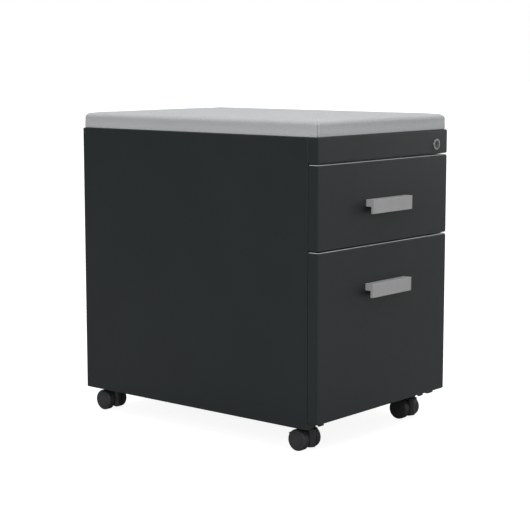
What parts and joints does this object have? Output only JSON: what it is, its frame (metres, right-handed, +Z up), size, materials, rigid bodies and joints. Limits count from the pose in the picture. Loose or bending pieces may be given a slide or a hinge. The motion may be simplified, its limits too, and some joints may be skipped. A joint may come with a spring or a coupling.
{
  "type": "mobile filing pedestal",
  "caption": "Charcoal steel filing pedestal with a box drawer over a file drawer, a lock, an upholstered seat cushion and hooded twin-wheel casters.",
  "frame": {"origin": "bottom centre of the object's bounding box, on the floor", "axes": "+Z up, drawers open towards -Y, +X to the right when facing the drawers' fronts from -Y"},
  "size_m": [0.381, 0.5728, 0.5667],
  "materials": {
    "case_paint": "fine powder coat, charcoal",
    "inner_paint": "fine powder coat, charcoal",
    "pull_metal": "satin",
    "lock_chrome": "polished",
    "seat_fabric": "flat woven upholstery, light grey",
    "board_wood": "plywood",
    "weight_iron": "as cast, painted",
    "caster_plastic": "moulded nylon, black",
    "wheel_tread": "moulded nylon, black",
    "guide_plastic": "acetal, black",
    "zinc_steel": "bright zinc"
  },
  "bodies": {
    "case": {"back_panel": "case_paint", "bottom_pan": "inner_paint", "box_slides_outer": "zinc_steel", "case_screws": "zinc_steel", "caster_nuts": "zinc_steel", "caster_rail_front": "inner_paint", "caster_rail_rear": "inner_paint", "caster_stems": "zinc_steel", "counterweight": "weight_iron", "cushion_board": "board_wood", "file_slides_outer": "zinc_steel", "lock_bar_guides": "guide_plastic", "lock_fascia": "case_paint", "lock_housing": "lock_chrome", "lock_nut": "zinc_steel", "seat_cushion": "seat_fabric", "side_panel_left": "case_paint", "side_panel_right": "case_paint", "slide_uprights_left": "inner_paint", "slide_uprights_right": "inner_paint", "top_panel": "case_paint"},
    "box_drawer": {"box_drawer_body": "inner_paint", "box_drawer_catch": "zinc_steel", "box_drawer_front": "case_paint", "box_drawer_liner": "inner_paint", "box_drawer_pull": "pull_metal", "box_pull_screws": "zinc_steel", "box_slides_inner": "zinc_steel"},
    "file_drawer": {"file_drawer_body": "inner_paint", "file_drawer_catch": "zinc_steel", "file_drawer_front": "case_paint", "file_drawer_liner": "inner_paint", "file_drawer_pull": "pull_metal", "file_pull_screws": "zinc_steel", "file_slides_inner": "zinc_steel", "hanging_file_rails": "zinc_steel"},
    "box_slides_mid": {"box_slides_middle": "zinc_steel"},
    "file_slides_mid": {"file_slides_middle": "zinc_steel"},
    "lock_cylinder": {"lock_cam": "zinc_steel", "lock_cam_screw": "zinc_steel", "lock_plug": "lock_chrome"},
    "lock_bar": {"lock_bar": "zinc_steel"},
    "caster_front_left": {"caster_hood_front_left": "caster_plastic", "caster_axle_front_left": "zinc_steel"},
    "wheel_front_left_a": {"wheel_front_left_a": "wheel_tread"},
    "wheel_front_left_b": {"wheel_front_left_b": "wheel_tread"},
    "caster_front_right": {"caster_hood_front_right": "caster_plastic", "caster_axle_front_right": "zinc_steel"},
    "wheel_front_right_a": {"wheel_front_right_a": "wheel_tread"},
    "wheel_front_right_b": {"wheel_front_right_b": "wheel_tread"},
    "caster_rear_left": {"caster_hood_rear_left": "caster_plastic", "caster_axle_rear_left": "zinc_steel"},
    "wheel_rear_left_a": {"wheel_rear_left_a": "wheel_tread"},
    "wheel_rear_left_b": {"wheel_rear_left_b": "wheel_tread"},
    "caster_rear_right": {"caster_hood_rear_right": "caster_plastic", "caster_axle_rear_right": "zinc_steel"},
    "wheel_rear_right_a": {"wheel_rear_right_a": "wheel_tread"},
    "wheel_rear_right_b": {"wheel_rear_right_b": "wheel_tread"},
    "brake_front_left": {"brake_lever_front_left": "caster_plastic"},
    "brake_front_right": {"brake_lever_front_right": "caster_plastic"}
  },
  "joints": [
    {"name": "box_drawer_slide", "type": "slide", "parent": "case", "child": "box_drawer", "axis": [0, -1, 0], "range_m": [0, 0.44]},
    {"name": "box_slides_travel", "type": "slide", "parent": "case", "child": "box_slides_mid", "axis": [0, -1, 0], "range_m": [0, 0.22]},
    {"name": "file_drawer_slide", "type": "slide", "parent": "case", "child": "file_drawer", "axis": [0, -1, 0], "range_m": [0, 0.44]},
    {"name": "file_slides_travel", "type": "slide", "parent": "case", "child": "file_slides_mid", "axis": [0, -1, 0], "range_m": [0, 0.22]},
    {"name": "lock_turn", "type": "hinge", "parent": "case", "child": "lock_cylinder", "pos_m": [0.1548, -0.2701, 0.5123], "axis": [0, 1, 0], "range_deg": [0, 90]},
    {"name": "lock_bar_drop", "type": "slide", "parent": "case", "child": "lock_bar", "axis": [0, 0, -1], "range_m": [0, 0.01556]},
    {"name": "caster_swivel_front_left", "type": "hinge", "parent": "case", "child": "caster_front_left", "pos_m": [-0.1501, -0.2261, 0.039], "axis": [0, 0, 1], "continuous": true},
    {"name": "wheel_spin_front_left_a", "type": "hinge", "parent": "caster_front_left", "child": "wheel_front_left_a", "pos_m": [-0.1501, -0.2111, 0.019], "axis": [1, 0, 0], "continuous": true},
    {"name": "wheel_spin_front_left_b", "type": "hinge", "parent": "caster_front_left", "child": "wheel_front_left_b", "pos_m": [-0.1501, -0.2111, 0.019], "axis": [1, 0, 0], "continuous": true},
    {"name": "brake_press_front_left", "type": "hinge", "parent": "caster_front_left", "child": "brake_front_left", "pos_m": [-0.1501, -0.2111, 0.036], "axis": [-1, 0, 0], "range_deg": [0, 12]},
    {"name": "caster_swivel_front_right", "type": "hinge", "parent": "case", "child": "caster_front_right", "pos_m": [0.1501, -0.2261, 0.039], "axis": [0, 0, 1], "continuous": true},
    {"name": "wheel_spin_front_right_a", "type": "hinge", "parent": "caster_front_right", "child": "wheel_front_right_a", "pos_m": [0.1501, -0.2111, 0.019], "axis": [1, 0, 0], "continuous": true},
    {"name": "wheel_spin_front_right_b", "type": "hinge", "parent": "caster_front_right", "child": "wheel_front_right_b", "pos_m": [0.1501, -0.2111, 0.019], "axis": [1, 0, 0], "continuous": true},
    {"name": "brake_press_front_right", "type": "hinge", "parent": "caster_front_right", "child": "brake_front_right", "pos_m": [0.1501, -0.2111, 0.036], "axis": [-1, 0, 0], "range_deg": [0, 12]},
    {"name": "caster_swivel_rear_left", "type": "hinge", "parent": "case", "child": "caster_rear_left", "pos_m": [-0.1501, 0.2479, 0.039], "axis": [0, 0, 1], "continuous": true},
    {"name": "wheel_spin_rear_left_a", "type": "hinge", "parent": "caster_rear_left", "child": "wheel_rear_left_a", "pos_m": [-0.1501, 0.2629, 0.019], "axis": [1, 0, 0], "continuous": true},
    {"name": "wheel_spin_rear_left_b", "type": "hinge", "parent": "caster_rear_left", "child": "wheel_rear_left_b", "pos_m": [-0.1501, 0.2629, 0.019], "axis": [1, 0, 0], "continuous": true},
    {"name": "caster_swivel_rear_right", "type": "hinge", "parent": "case", "child": "caster_rear_right", "pos_m": [0.1501, 0.2479, 0.039], "axis": [0, 0, 1], "continuous": true},
    {"name": "wheel_spin_rear_right_a", "type": "hinge", "parent": "caster_rear_right", "child": "wheel_rear_right_a", "pos_m": [0.1501, 0.2629, 0.019], "axis": [1, 0, 0], "continuous": true},
    {"name": "wheel_spin_rear_right_b", "type": "hinge", "parent": "caster_rear_right", "child": "wheel_rear_right_b", "pos_m": [0.1501, 0.2629, 0.019], "axis": [1, 0, 0], "continuous": true}
  ],
  "couplings": [
    {"joint": "box_slides_travel", "follows": "box_drawer_slide", "ratio": 0.5},
    {"joint": "file_slides_travel", "follows": "file_drawer_slide", "ratio": 0.5},
    {"joint": "lock_turn", "follows": "lock_bar_drop", "rad_per_m": 100.97}
  ]
}
